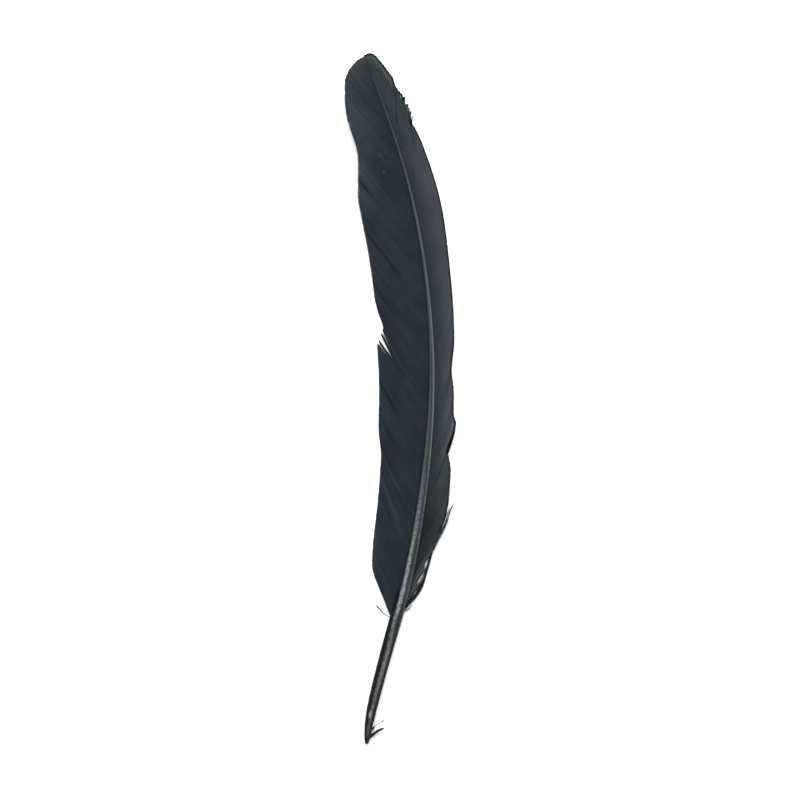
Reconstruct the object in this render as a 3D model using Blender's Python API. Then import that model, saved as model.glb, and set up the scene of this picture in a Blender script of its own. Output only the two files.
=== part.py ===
"""A dyed pheasant wing feather, lying with the grooved underside of its shaft facing up.

Places on the feather are given as "along", the distance along the shaft's centre line from the
quill's end, and "out", the distance sideways from that line. Sizes are in millimetres until
place() turns them into metres.
"""

import bmesh
import bpy
import numpy as np

MM = 0.001
GAP = 0.3

# The shaft's centre line runs past the shaft's own tip, because the vane does.
SHAFT_LENGTH = 197.5
LINE_LENGTH = 206.0
LINE_STEP = 0.5
# Along the shaft, and the heading there in degrees, turned from +Y towards +X.
HEADINGS = (
    (0, 4.0), (12, 13.5), (25, 15.3), (40, 16.1), (60, 10.0), (80, 6.9), (100, 2.1),
    (120, -3.3), (150, -11.0), (180, -19.7), (206, -24.5),
)
# The shaft lies flat on its middle, and both its ends rise from there.
QUILL_RISE, QUILL_RISE_ENDS = 1.2, 36.0
TIP_RISE, TIP_RISE_STARTS = 6.0, 120.0

# Along the shaft, its width, and its depth from front to back.
SHAFT_SIZES = (
    (0, 1.1, 1.0), (1.5, 1.65, 1.55), (5.5, 2.4, 2.2), (9, 2.8, 2.55), (15.5, 3.15, 2.85),
    (22, 3.3, 2.95), (29, 3.5, 3.1), (35, 3.6, 3.2), (42, 3.35, 3.1), (50, 2.95, 2.85),
    (60, 2.75, 2.65), (75, 2.45, 2.35), (90, 2.15, 2.05), (105, 1.82, 1.75), (120, 1.55, 1.5),
    (140, 1.2, 1.15), (160, 0.97, 0.92), (180, 0.7, 0.66), (197.5, 0.36, 0.34),
)
# The shaft's outline, as shares of its width and depth: the round quill, and the grooved shaft above.
QUILL_OUTLINE = (
    (0.14, 0.0), (0.33, 0.09), (0.47, 0.32), (0.49, 0.6), (0.38, 0.85), (0.2, 0.975), (0.0, 1.0),
)
GROOVED_OUTLINE = (
    (0.22, 0.0), (0.4, 0.06), (0.5, 0.26), (0.49, 0.62), (0.4, 0.9), (0.24, 1.0), (0.0, 0.86),
)
GROOVE_STARTS, GROOVE_WHOLE = 34.0, 62.0
# The rings of the shaft's mesh: at these places on the quill, evenly along the band that lies
# flat, and evenly again to the tip.
QUILL_RINGS = (0.0, 0.4, 1.2, 2.5, 4.5, 7.0, 10.0, 13.5, 17.5, 22.0, 27.0, 31.5)
FLAT_BAND, FLAT_RINGS = (36.0, 119.0), 29
TIP_RINGS = 24
SHARP_ANGLE = 50.0

# Where each vane's barbs end: the barb's root along the shaft, how much further along its tip
# lies, and how far out. Rows run from the quill to the feather's tip.
MARGINS = {
    "inner": (
        (36.5, 11.0, 10.4), (44, 14.0, 11.8), (55, 17.0, 12.6), (64, 18.5, 13.3), (72, 19.5, 14.8),
        (84, 21.5, 15.2), (96, 21.5, 15.6), (98, 22.0, 13.6), (103, 23.5, 14.9), (108, 23.8, 15.4),
        (127, 24.5, 15.4), (136, 24.5, 15.2), (143, 24.0, 13.7), (154, 23.2, 11.3),
        (161.5, 22.5, 11.2), (165.5, 22.0, 10.6), (175.5, 19.1, 8.2), (184, 14.0, 6.1),
        (190, 9.3, 3.6), (197, 2.9, 0.4),
    ),
    "outer": (
        (46.8, 16.2, 6.9), (50, 16.5, 7.4), (54, 17.0, 7.65), (60, 17.5, 7.2), (64.5, 17.5, 6.6),
        (67.5, 17.8, 5.9), (71.5, 18.0, 6.5), (74.5, 18.2, 7.2), (77.5, 18.4, 6.6), (84, 18.4, 6.2),
        (89.8, 18.4, 5.6), (99, 18.2, 6.4), (120, 18.0, 7.0), (137, 17.9, 7.65), (153.5, 17.5, 6.9),
        (160.5, 17.0, 5.9), (162.5, 17.5, 6.4), (165, 17.5, 6.3), (174, 16.6, 5.5), (178, 15.8, 4.65),
        (183, 13.4, 3.4), (188, 10.3, 2.3), (193, 6.6, 1.3), (197, 3.0, 0.5),
    ),
    "loose": ((39.8, 16.6, 5.4), (42.2, 15.6, 5.3)),
}
# A barb leaves the shaft steeper than it ends: its root, and the degrees. It bends at this share
# of its run.
STEEPNESS = {
    "inner": ((36.5, 1.0), (60.0, 12.0)),
    "outer": ((46.8, 6.0), (58.0, 12.0)),
    "loose": ((39.8, 21.0), (42.2, 19.0)),
}
BEND_SHARE = 0.42

# Places where a vane has come apart: the root along the shaft, the share of the barb at which the
# opening begins, and how wide it is at the vane's edge.
INNER_SPLITS = ((97.0, 0.4, 3.4), (112.5, 0.6, 0.9), (127.0, 0.4, 1.0))
OUTER_SPLITS = ((67.5, 0.6, 0.8), (176.0, 0.4, 1.6))
SPLIT_REACH = 7.0

# Each vane's stretch of roots, and the spacing of the lines of its mesh.
INNER_ROOTS = (36.5, 197.0)
OUTER_ROOTS = (46.8, 197.0)
LOOSE_ROOTS = (39.8, 42.2)
ROOT_STEP = {"vane": 3.2, "loose": 0.9}
VANE_THICKNESS = 0.45
SHARES = (0.0, 0.2, 0.4, 0.6, 0.8, 1.0)
# Height of the vane's middle above the shaft's underside, at these shares of its width. The first
# height is the share of the shaft's depth at which the barbs are rooted.
ROOTED_AT = 0.36
HEIGHT_SHARES = (0.0, 0.3, 0.7, 1.0)
INNER_HEIGHTS = (0.95, 0.55, 0.24)
OUTER_HEIGHTS = (0.8, 1.2, 1.9)
# Near the tip the vanes are flatter, down to this share of those heights.
TIP_FLATNESS, FLATTENS_FROM = 0.45, 110.0


def smooth(rows, at, column=1):
    """A column of a table read between its rows, on a curve that never overshoots them."""
    table = np.array(rows, float)
    x, y = table[:, 0], table[:, column]
    slope = np.diff(y) / np.diff(x)
    same_way = slope[:-1] * slope[1:] > 0
    middle = np.zeros(len(slope) - 1)
    middle[same_way] = 2 / (1 / slope[:-1][same_way] + 1 / slope[1:][same_way])
    tangent = np.concatenate((slope[:1], middle, slope[-1:]))
    at = np.clip(np.asarray(at, float), x[0], x[-1])
    i = np.clip(np.searchsorted(x, at) - 1, 0, len(slope) - 1)
    run = x[i + 1] - x[i]
    t = (at - x[i]) / run
    start = y[i] * (1 + 2 * t) + tangent[i] * run * t
    end = y[i + 1] * (3 - 2 * t) - tangent[i + 1] * run * (1 - t)
    return start * (1 - t) ** 2 + end * t ** 2


LINE = np.arange(0, LINE_LENGTH + LINE_STEP / 2, LINE_STEP)
HEADING = np.radians(smooth(HEADINGS, LINE))


def walked(rate):
    """The distance walked at each step of the line, by the trapezoid rule."""
    return np.concatenate(([0.0], np.cumsum((rate[1:] + rate[:-1]) / 2 * LINE_STEP)))


LINE_X, LINE_Y = walked(np.sin(HEADING)), walked(np.cos(HEADING))


def underside(along):
    """Height of the shaft's underside above the surface that the feather lies on."""
    quill = max(0.0, 1 - along / QUILL_RISE_ENDS)
    tip = max(0.0, along - TIP_RISE_STARTS) / (SHAFT_LENGTH - TIP_RISE_STARTS)
    return QUILL_RISE * quill ** 2 + TIP_RISE * tip ** 2


def place(along, out, height):
    """A place on the feather in metres. Out is positive on the outer vane's side."""
    heading = np.interp(along, LINE, HEADING)
    x = np.interp(along, LINE, LINE_X) + out * np.cos(heading)
    y = np.interp(along, LINE, LINE_Y) - out * np.sin(heading)
    return x * MM, y * MM, (underside(along) + height) * MM


def shaft_width(along):
    return float(smooth(SHAFT_SIZES, along, 1))


def shaft_depth(along):
    return float(smooth(SHAFT_SIZES, along, 2))


def eased(x):
    x = min(max(x, 0.0), 1.0)
    return x * x * (3 - 2 * x)


def material(name, colour, roughness):
    made = bpy.data.materials.new(name)
    made.use_nodes = True
    shader = made.node_tree.nodes["Principled BSDF"]
    shader.inputs["Base Color"].default_value = (*colour, 1)
    shader.inputs["Roughness"].default_value = roughness
    shader.inputs["Metallic"].default_value = 0.0
    made.diffuse_color = (*colour, 1)
    return made


def add_object(name, mesh, finish, parent):
    made = bpy.data.objects.new(name, mesh)
    bpy.context.collection.objects.link(made)
    mesh.materials.append(finish)
    made.parent = parent
    return made


def shaft_ring(along):
    """The outline of the shaft across its line, going once around from the flat underside."""
    grooved = eased((along - GROOVE_STARTS) / (GROOVE_WHOLE - GROOVE_STARTS))
    half = [
        ((1 - grooved) * q[0] + grooved * g[0], (1 - grooved) * q[1] + grooved * g[1])
        for q, g in zip(QUILL_OUTLINE, GROOVED_OUTLINE)
    ]
    outline = half + [(-across, up) for across, up in reversed(half[:-1])]
    width, depth = shaft_width(along), shaft_depth(along)
    return [place(along, across * width, up * depth) for across, up in outline]


def shaft_stations():
    """Places along the shaft where its mesh has a ring."""
    tip = np.linspace(FLAT_BAND[1], SHAFT_LENGTH, TIP_RINGS + 1)[1:]
    return (*QUILL_RINGS, *np.linspace(*FLAT_BAND, FLAT_RINGS), *tip)


def make_shaft(finish, parent):
    build = bmesh.new()
    rings = [[build.verts.new(p) for p in shaft_ring(along)] for along in shaft_stations()]
    for near, far in zip(rings, rings[1:]):
        for i in range(len(near)):
            j = (i + 1) % len(near)
            build.faces.new((near[i], near[j], far[j], far[i]))
    build.faces.new(rings[0])
    build.faces.new(rings[-1])
    bmesh.ops.recalc_face_normals(build, faces=build.faces)
    mesh = bpy.data.meshes.new("shaft")
    build.to_mesh(mesh)
    build.free()
    mesh.shade_smooth()
    mesh.set_sharp_from_angle(angle=np.radians(SHARP_ANGLE))
    return add_object("shaft", mesh, finish, parent)


def opening(root, share, splits, below):
    """How far a split pushes a barb along the shaft: back from its lower side, on from its upper."""
    push = 0.0
    for split_root, begins, wide in splits:
        side = root - split_root
        if side == 0:
            side = -1 if below else 1
        near = np.exp(-abs(root - split_root) / SPLIT_REACH)
        push += np.sign(side) * wide / 2 * near * eased((share - begins) / (1 - begins))
    return push


def barb_point(side, root, share, splits, below=True):
    """A place on the barb rooted there, at a share of its run from the shaft to its tip."""
    margin = MARGINS[side]
    start = np.array((root, shaft_width(root) / 2 + GAP))
    end = np.array((root + smooth(margin, root, 1), smooth(margin, root, 2)))
    run = end - start
    steep = np.arctan2(run[1], run[0]) + np.radians(smooth(STEEPNESS[side], root))
    bend = start + BEND_SHARE * np.hypot(*run) * np.array((np.cos(steep), np.sin(steep)))
    path = start * (1 - share) ** 2 + bend * 2 * share * (1 - share) + end * share ** 2
    along, out = path[0] + opening(root, share, splits, below), path[1]
    spread = (out - start[1]) / max(end[1] - start[1], GAP)
    return place(along, out * (-1 if side == "inner" else 1), vane_height(side, along, spread))


def vane_height(side, along, spread):
    """Height of the vane's middle above the shaft's underside."""
    heights = INNER_HEIGHTS if side == "inner" else OUTER_HEIGHTS
    flat = 1 - (1 - TIP_FLATNESS) * eased((along - FLATTENS_FROM) / (LINE_LENGTH - FLATTENS_FROM))
    rooted = max(ROOTED_AT * shaft_depth(along), VANE_THICKNESS / 2)
    rows = list(zip(HEIGHT_SHARES, (rooted, *(h * flat for h in heights))))
    return float(smooth(rows, min(max(spread, 0.0), 1.0)))


def vane_columns(roots, step, splits):
    """Roots of the mesh's lines. A split's root comes twice, for its lower and upper side."""
    count = int(round((roots[1] - roots[0]) / step)) + 1
    regular = [
        root for root in np.linspace(*roots, count)
        if all(abs(root - split[0]) > step / 2 for split in splits)
    ]
    columns = [(root, True, None) for root in regular]
    for split_root, begins, _ in splits:
        columns += [(split_root, True, begins), (split_root, False, begins)]
    return sorted(columns, key=lambda column: (column[0], not column[1]))


def make_vane(name, side, roots, step, splits, finish, parent):
    build = bmesh.new()
    lines = []
    for root, below, begins in vane_columns(roots, step, splits):
        line = []
        upper_side_of_split = begins is not None and not below
        for row, share in enumerate(SHARES):
            if upper_side_of_split and share <= begins:
                line.append(lines[-1][0][row])
            else:
                line.append(build.verts.new(barb_point(side, root, share, splits, below)))
        lines.append((line, upper_side_of_split))
    for (near, _), (far, split_here) in zip(lines, lines[1:]):
        if split_here:
            continue
        for row in range(len(SHARES) - 1):
            build.faces.new((near[row], near[row + 1], far[row + 1], far[row]))
    bmesh.ops.recalc_face_normals(build, faces=build.faces)
    mesh = bpy.data.meshes.new(name)
    build.to_mesh(mesh)
    build.free()
    mesh.shade_smooth()
    vane = add_object(name, mesh, finish, parent)
    thicken = vane.modifiers.new("thickness", "SOLIDIFY")
    thicken.thickness = VANE_THICKNESS * MM
    thicken.offset = 0.0
    return vane


def put_origin_under_the_middle(parent, objects):
    """Move the feather so that the world origin is under the middle of its box."""
    bpy.context.view_layer.update()
    graph = bpy.context.evaluated_depsgraph_get()
    corners = []
    for made in objects:
        mesh = made.evaluated_get(graph).to_mesh()
        points = np.empty(len(mesh.vertices) * 3)
        mesh.vertices.foreach_get("co", points)
        points = points.reshape(-1, 3)
        corners += [points.min(axis=0), points.max(axis=0)]
        made.evaluated_get(graph).to_mesh_clear()
    low, high = np.min(corners, axis=0), np.max(corners, axis=0)
    parent.location = (-(low[0] + high[0]) / 2, -(low[1] + high[1]) / 2, -low[2])


def main():
    for old in list(bpy.data.objects):
        bpy.data.objects.remove(old)
    feather = bpy.data.objects.new("feather", None)
    bpy.context.collection.objects.link(feather)
    horn = material("shaft_horn", (0.045, 0.045, 0.048), 0.4)
    inner = material("inner_barbs", (0.022, 0.028, 0.036), 0.75)
    outer = material("outer_barbs", (0.036, 0.038, 0.038), 0.7)
    loose = material("loose_barbs", (0.03, 0.032, 0.034), 0.8)
    made = [
        make_shaft(horn, feather),
        make_vane("inner_vane", "inner", INNER_ROOTS, ROOT_STEP["vane"], INNER_SPLITS, inner, feather),
        make_vane("outer_vane", "outer", OUTER_ROOTS, ROOT_STEP["vane"], OUTER_SPLITS, outer, feather),
        make_vane("loose_barbs", "loose", LOOSE_ROOTS, ROOT_STEP["loose"], (), loose, feather),
    ]
    put_origin_under_the_middle(feather, made)


main()
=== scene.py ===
"""The looks of a pheasant wing feather, dyed black, lying with its grooved underside up.

Places on the feather are given as "along", the distance along the shaft's centre line from the
quill's end, and "out", the distance sideways from it, in millimetres. place() turns them into
metres in the frame.
"""

import bpy
import numpy as np
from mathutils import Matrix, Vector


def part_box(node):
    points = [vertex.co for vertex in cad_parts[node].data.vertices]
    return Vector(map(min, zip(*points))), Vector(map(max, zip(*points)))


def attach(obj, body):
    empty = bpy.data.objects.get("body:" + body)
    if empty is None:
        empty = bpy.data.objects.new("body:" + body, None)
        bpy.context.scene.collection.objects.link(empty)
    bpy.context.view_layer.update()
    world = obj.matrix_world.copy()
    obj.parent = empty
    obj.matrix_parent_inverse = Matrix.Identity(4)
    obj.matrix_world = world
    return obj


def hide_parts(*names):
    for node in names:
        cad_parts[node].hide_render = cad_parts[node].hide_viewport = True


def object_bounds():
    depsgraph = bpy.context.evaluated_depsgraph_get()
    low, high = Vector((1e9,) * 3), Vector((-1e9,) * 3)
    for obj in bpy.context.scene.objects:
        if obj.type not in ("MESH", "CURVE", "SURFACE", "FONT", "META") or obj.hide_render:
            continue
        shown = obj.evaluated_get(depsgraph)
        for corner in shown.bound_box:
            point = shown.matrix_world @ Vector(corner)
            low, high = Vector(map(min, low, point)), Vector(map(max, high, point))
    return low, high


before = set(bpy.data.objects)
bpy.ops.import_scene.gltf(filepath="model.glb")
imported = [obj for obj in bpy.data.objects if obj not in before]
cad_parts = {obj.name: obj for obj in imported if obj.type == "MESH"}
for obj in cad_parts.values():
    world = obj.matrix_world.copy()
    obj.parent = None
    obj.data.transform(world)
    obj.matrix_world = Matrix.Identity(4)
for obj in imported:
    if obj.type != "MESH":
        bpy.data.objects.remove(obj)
cad_low, cad_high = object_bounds()

MM = 0.001
SEED = 41
BODY = "root"

# The shaft's centre line, as the frame's solids have it, which goes on past the shaft: at places along
# it, how many degrees it heads to the right of straight ahead.
SHAFT_LENGTH, LINE_LENGTH, LINE_STEP = 197.5, 206.0, 0.5
HEADINGS = (
    (0, 4), (12, 13.5), (25, 15.3), (40, 16.1), (60, 10), (80, 6.9), (100, 2.1), (120, -3.3), (150, -11),
    (180, -19.7), (206, -24.5),
)
# How far the quill's end and the tip rise, and where along the shaft those rises end and start.
QUILL_RISE, QUILL_RISE_ENDS = 1.2, 36.0
TIP_RISE, TIP_RISE_STARTS = 6.0, 120.0

# Along the shaft, its width, and its depth from front to back.
SHAFT_SIZES = (
    (0, 1.1, 1), (1.5, 1.65, 1.55), (5.5, 2.4, 2.2), (9, 2.8, 2.55), (15.5, 3.15, 2.85), (22, 3.3, 2.95),
    (29, 3.5, 3.1), (35, 3.6, 3.2), (42, 3.35, 3.1), (50, 2.95, 2.85), (60, 2.75, 2.65), (75, 2.45, 2.35),
    (90, 2.15, 2.05), (105, 1.82, 1.75), (120, 1.55, 1.5), (140, 1.2, 1.15), (160, 0.97, 0.92),
    (180, 0.7, 0.66), (197.5, 0.36, 0.34),
)
# The shaft's outline, as shares of its width and depth: the round quill, and the grooved shaft.
QUILL_OUTLINE = (
    (0.14, 0), (0.33, 0.09), (0.47, 0.32), (0.49, 0.6), (0.38, 0.85), (0.2, 0.975), (0, 1),
)
GROOVED_OUTLINE = (
    (0.22, 0), (0.4, 0.06), (0.5, 0.26), (0.49, 0.62), (0.4, 0.9), (0.24, 1), (0, 0.86),
)
GROOVE_STARTS, GROOVE_WHOLE = 34.0, 62.0

# Paler bands along the shaft, partly worn and partly a painted highlight where its ridges face the
# light: the place along it, the band's middle and its half width as shares of the shaft's half width,
# and how pale it is.
LEFT_BAND = (
    (0, 0, 0.38, 0.08), (3, 0, 0.38, 0.27), (6, 0.04, 0.31, 0.22), (10, 0.05, 0.3, 0.33),
    (15, 0.08, 0.33, 0.39), (20, 0.12, 0.34, 0.44), (25, 0.15, 0.33, 0.46), (30, 0.06, 0.36, 0.35),
    (35, -0.14, 0.26, 0.52), (40, -0.12, 0.27, 0.8), (45, -0.21, 0.26, 1), (50, -0.31, 0.28, 0.98),
    (55, -0.38, 0.3, 0.86), (60, -0.34, 0.33, 0.64), (70, -0.31, 0.36, 0.38), (80, -0.34, 0.38, 0.2),
    (90, -0.38, 0.38, 0.14), (100, -0.4, 0.36, 0.1), (110, -0.42, 0.34, 0.08), (135, -0.4, 0.3, 0),
)
RIGHT_BAND = (
    (30, 0.66, 0.16, 0.05), (40, 0.8, 0.15, 0.2), (45, 0.84, 0.15, 0.42), (50, 0.83, 0.15, 0.44),
    (60, 0.8, 0.17, 0.42), (70, 0.8, 0.19, 0.44), (80, 0.78, 0.22, 0.52), (90, 0.7, 0.27, 0.42),
    (100, 0.63, 0.3, 0.46), (110, 0.57, 0.32, 0.45), (120, 0.4, 0.4, 0.35), (130, 0.33, 0.44, 0.32),
    (145, 0.22, 0.48, 0.3), (160, 0.1, 0.5, 0.24), (172, 0.04, 0.48, 0.15), (184, 0.04, 0.48, 0.08),
    (191, 0, 0.5, 0),
)
# How lit the horn is painted beside its bands, from 0 for painted shade to 1 for its own dyed colour:
# the place along the shaft, and the shares at these parts of its half width, from left to right.
HORN_PARTS = (-0.75, -0.1, 0.4, 0.75)
HORN_TONES = (
    (0, 0.15, 0.2, 0.6, 0.35), (27, 0.15, 0.2, 0.6, 0.28), (32, 0, 0.24, 0.65, 0.28),
    (37, 0, 0.62, 0.82, 0.28), (42, 0, 0.97, 0.98, 0.4), (46, 0.4, 1, 1, 0.95), (53, 1, 1, 1, 1),
)
# The worn stretch of the shaft: where it starts, is whole, fades again and ends.
WORN_STRETCH = (-4.0, 10.0, 62.0, 96.0)
# The spot that lost its dye: along, its reach, its place and reach across as shares of the half
# width, and how much is lost.
DYE_LOST = (8.3, 1.1, -0.12, 0.28, 0.8)

# Where each vane's barbs end: the barb's root along the shaft, how much further along its tip
# lies, and how far out.
MARGINS = {
    "inner": (
        (36.5, 9.8, 9.2), (38, 10.9, 10.5), (40.5, 12.2, 11.3), (44, 14, 11.9), (55, 17, 12.6),
        (64, 18.5, 13.3), (72, 19.5, 14.8), (84, 21.5, 15.2), (96, 21.5, 15.6), (98, 22, 13.6),
        (103, 23.5, 14.9), (108, 23.8, 15.4), (127, 24.5, 15.4), (136, 24.5, 15.2), (143, 24, 13.7),
        (154, 23.2, 11.3), (161.5, 22.5, 11.2), (165.5, 22, 10.6), (175.5, 19, 8.15), (180, 16.4, 7.1),
        (184, 13.5, 5.75), (190, 8.9, 3.2), (195, 4.5, 1.15), (197.4, 2.25, -0.3),
    ),
    "outer": (
        (47.6, 15.4, 6.55), (50, 16.5, 7.4), (54, 17, 7.72), (60, 17.5, 7.33), (63, 17.4, 7.15),
        (64.5, 17.3, 6.87), (67.6, 16.5, 6.17), (70.6, 15.3, 5.57), (71.5, 15.6, 5.93),
        (72.2, 16.5, 6.45), (73.2, 17.6, 7.17), (75.4, 18.3, 7.4), (77.8, 18.4, 6.52), (84, 18.4, 6.33),
        (89.8, 18.4, 5.63), (99, 18.2, 6.6), (120, 18, 7.14), (137, 17.9, 7.76), (153.5, 17.5, 7),
        (157, 17.4, 6.6), (159.3, 17.3, 6.2), (161, 17.4, 6.12), (163.7, 17.5, 6.32), (166.8, 17.1, 6.07),
        (169.3, 16.8, 5.87), (171.6, 16.4, 5.65), (173.2, 16, 5.47), (176, 15.1, 5.27), (177, 15.2, 4.85),
        (180, 14.4, 4.4), (183, 13.3, 3.8), (188, 10.6, 3), (193, 6.8, 1.7), (197.4, 2.5, 0.05),
    ),
}
# A barb leaves the shaft steeper than it ends, and bends at a share of its length: its root, and
# the degrees.
STEEPNESS = {
    "inner": ((36.5, 1), (60, 12), (186, 12), (197.4, 0)),
    "outer": ((47.6, 5), (58, 12), (186, 12), (197.4, 0)),
}
BEND_SHARE = 0.42

# Where the barbs of a vane have come apart: the root, the share of the barb at which the parting
# begins, how far it gapes at the edge (less than nothing where one side lies over the other), how
# far its lower and its upper side are lifted, and how much painted highlight (paler) or painted
# shadow (darker) its line gets.
PARTINGS = {
    "inner": (
        (59, 0.3, -0.15, 0, 0.22, 0.75), (66, 0.38, -0.15, 0, 0.2, 0.65), (75, 0.6, -0.1, 0.1, 0, -0.25),
        (84, 0.48, -0.5, 0, 0.34, -0.5), (97, 0.36, -0.1, 0, 0.16, -0.5), (97, 0.7, 2.5, 0.05, 0, 0),
        (105, 0.7, -0.15, 0.12, 0, -0.2), (111.5, 0.5, -0.2, 0, 0.22, -0.5),
        (119.5, 0.66, -0.1, 0.08, 0, 0.2), (127.4, 0.33, -0.6, 0.45, 0, -0.45),
        (143.4, 0.74, -0.15, 0, 0.15, -0.7), (151, 0.22, -0.1, 0, 0.08, -0.2),
        (162, 0.86, 0.4, 0.08, 0, -0.5), (171, 0.5, -0.1, 0.08, 0, 0.15), (183, 0.9, 0.2, 0, 0.05, 0),
    ),
    "outer": (
        (56.5, 0.8, -0.1, 0, 0.1, -0.1), (71, 0.9, 0.1, 0, 0, 0), (78, 0.8, -0.1, 0.08, 0, 0),
        (90.5, 0.7, -0.1, 0.08, 0, -0.08), (105, 0.8, -0.1, 0, 0.08, -0.2),
        (133, 0.6, -0.1, 0, 0.1, -0.15), (166.6, 0.93, 0.3, 0, 0.05, 0), (174.7, 0.3, 0, 0, 0, 0.35),
        (176.3, 0.1, 0.1, 0, 0.3, -0.6),
    ),
}
# How far along the shaft a parting pushes and lifts barbs, how wide its painted line of highlight and
# shadow is, over which share of a barb that line begins, and how much and how near the barbs stray
# into the gap.
PARTING_REACH, LIFT_REACH = 7.0, 4.0
SEAM_WIDTH, SEAM_BEGINS = 0.75, 0.2
GAP_STRAY, GAP_REACH = 0.12, 1.4

# Where worn barbs end in small uneven locks: from and to which root, how much longer a lock is in
# its middle than at its sides, how many millimetres of the shaft its barbs take, and how squarely it
# ends, from 0 for a point to 1 for a straight cut across it.
RAGGED = {
    "inner": ((181, 197.4, 0.15, 1.2, 0),),
    "outer": (
        (47, 60, 0.3, 1.6, 0), (160.9, 171.6, 0.6, 0.9, 0.6), (177, 190, 0.25, 1.2, 0),
    ),
}
# Between which roots the barbs begin to keep their webs wide to the end.
WIDE_ENDS = {"inner": (168.0, 178.0), "outer": (153.0, 160.0)}
# The locks: the limits of their widths and lengths, how far a lock's middle stands out, how far a
# square one slants, and how much its barbs lean together and flare.
LOCK_WIDTHS, LOCK_LENGTHS, LOCK_POINT = (0.5, 1.5), (-0.4, 0.4), 0.4
SQUARE_SLANT, LOCK_LEAN, LOCK_FLARE = 0.8, 0.7, 0.14
# How unevenly long all the barbs are, and from which share of a barb its lock gathers it.
UNEVEN_LENGTH, GATHERED_FROM = 0.05, 0.84
# The outer vane's frayed tips turn out or in like blunt hooks: the root, how far out the tip turns,
# and from which share of the barb.
HOOKED_TIPS = (
    (159.3, 0), (160.9, -0.45), (162, 0.4), (162.9, -0.15), (163.7, 0.6), (164.8, -0.1), (165.8, 0.5),
    (166.8, -0.35), (167.9, 0.55), (169.3, -0.1), (171.6, -0.42), (173.2, -0.35), (176, 0),
)
HOOKED_FROM = 0.9
# How much paler each vane is than its own finish, by its root along the shaft. The outer vane's
# paleness is partly its own colour and partly painted sheen.
TONES = {
    "inner": (
        (36.5, -0.1), (60, -0.08), (90, -0.06), (120, 0), (140, 0.06), (165, 0), (184, 0), (195, 0.12),
    ),
    "outer": (
        (46.8, -0.15), (53, -0.14), (59.5, -0.32), (66, -0.08), (76, 0.26), (90, 0.36), (105, 0.4),
        (120, 0.3), (140, 0.24), (155, 0.24), (168, 0.22), (180, 0.34), (190, 0.36), (197.4, 0.12),
    ),
}
# Where the outer vane's margin is palest, partly its own colour and partly painted sheen: the root,
# its reach, and how much paler it is.
MARGIN_TONE_AND_SHEEN = (98.0, 9.0, 0.42)
# The paler line in the outer vane's tip, partly a faded brownish line and partly a painted highlight
# along a fold: how far in from the edge and how wide it is, between which places along the shaft it
# begins, and how much paler and more faded it is.
PALE_LINE = (1.05, 0.24, 188.0, 191.0, 0.7, 0.2)
# How wide and how soft the painted shade along the outer vane's curled-down edge is, and where along
# the shaft it is wider: the middle, the reach and how much.
SHADED_EDGE, EDGE_SOFTNESS = 0.62, 0.35
WIDER_EDGE = (91.0, 3.6, 0.24)
# How wide, how soft and how dark the inner vane's faint edge is.
FAINT_EDGE = (0.4, 0.3, 0.3)
# The frayed barb tips that lost their dye: the place along the shaft, its reach, how much they lost,
# and between which shares of the barb it begins.
BARE_TIPS = (181.8, 0.9, 0.6, 0.92, 0.98)
# A ruffled spot on the inner vane: along, out, its reach both ways, how much paler and darker its
# strokes are, and how many millimetres of the shaft and of a barb a stroke takes.
RUFFLED = (171.4, 5.7, 2.0, 1.7, 0.75, 2.6, 3.0)
# Painted shade: the vanes are darker close to the shaft, where it shades them: how far out, how much,
# and between which roots it ends.
SHAFT_SHADE = (0.6, 0.15, 180.0, 190.0)

# The first and the last root of each vane, its seed, how far apart barbs stand, and how unevenly.
ROOTS = {"inner": (36.5, 197.4), "outer": (47.6, 197.4)}
VANE_SEEDS = {"inner": 46, "outer": 47}
BARB_SPACING, ROOT_JITTER = 0.46, 0.05
# How many points a vane's barb has, closer near its tip, and how many a loose one has.
STATIONS, STATION_CROWDING = {"inner": 26, "outer": 24}, 0.93
STRAND_STATIONS = 28
# A barb is rooted at a share of the shaft's depth, and some way inside the shaft, but never nearer
# its middle than a share of its half width.
ROOTED_AT, ROOT_DEPTH, DEEPEST_ROOT = 0.36, 0.3, 0.3
# The vanes' heights, after the root's, at shares of their width. Towards the tip they flatten, to a
# share of these and from a place along the shaft.
HEIGHT_SHARES = (0.0, 0.3, 0.7, 1.0)
HEIGHTS = {"inner": (0.95, 0.6, 0.32), "outer": (0.8, 1.2, 1.9)}
TIP_FLATNESS, FLATTENS_FROM = 0.45, 110.0
# From and to which root both vanes come to one height, and that height.
VANES_MEET, MEETING_HEIGHT = (186.0, 198.0), 0.36
# The vanes' waves, how high and how long, and the share of the width at which they are whole.
RIPPLES, RIPPLES_WHOLE = ((0.2, 8.0), (0.13, 3.0), (0.06, 1.0)), 1 / 1.2
# How near the surface a barb may lie, how far the outer margin curls down and over what width, and
# the least width that the shares of a vane are taken from.
LOWEST = 0.06
MARGIN_CURL, CURLED_WIDTH = 0.3, 0.7
NARROWEST_VANE = 0.5
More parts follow.
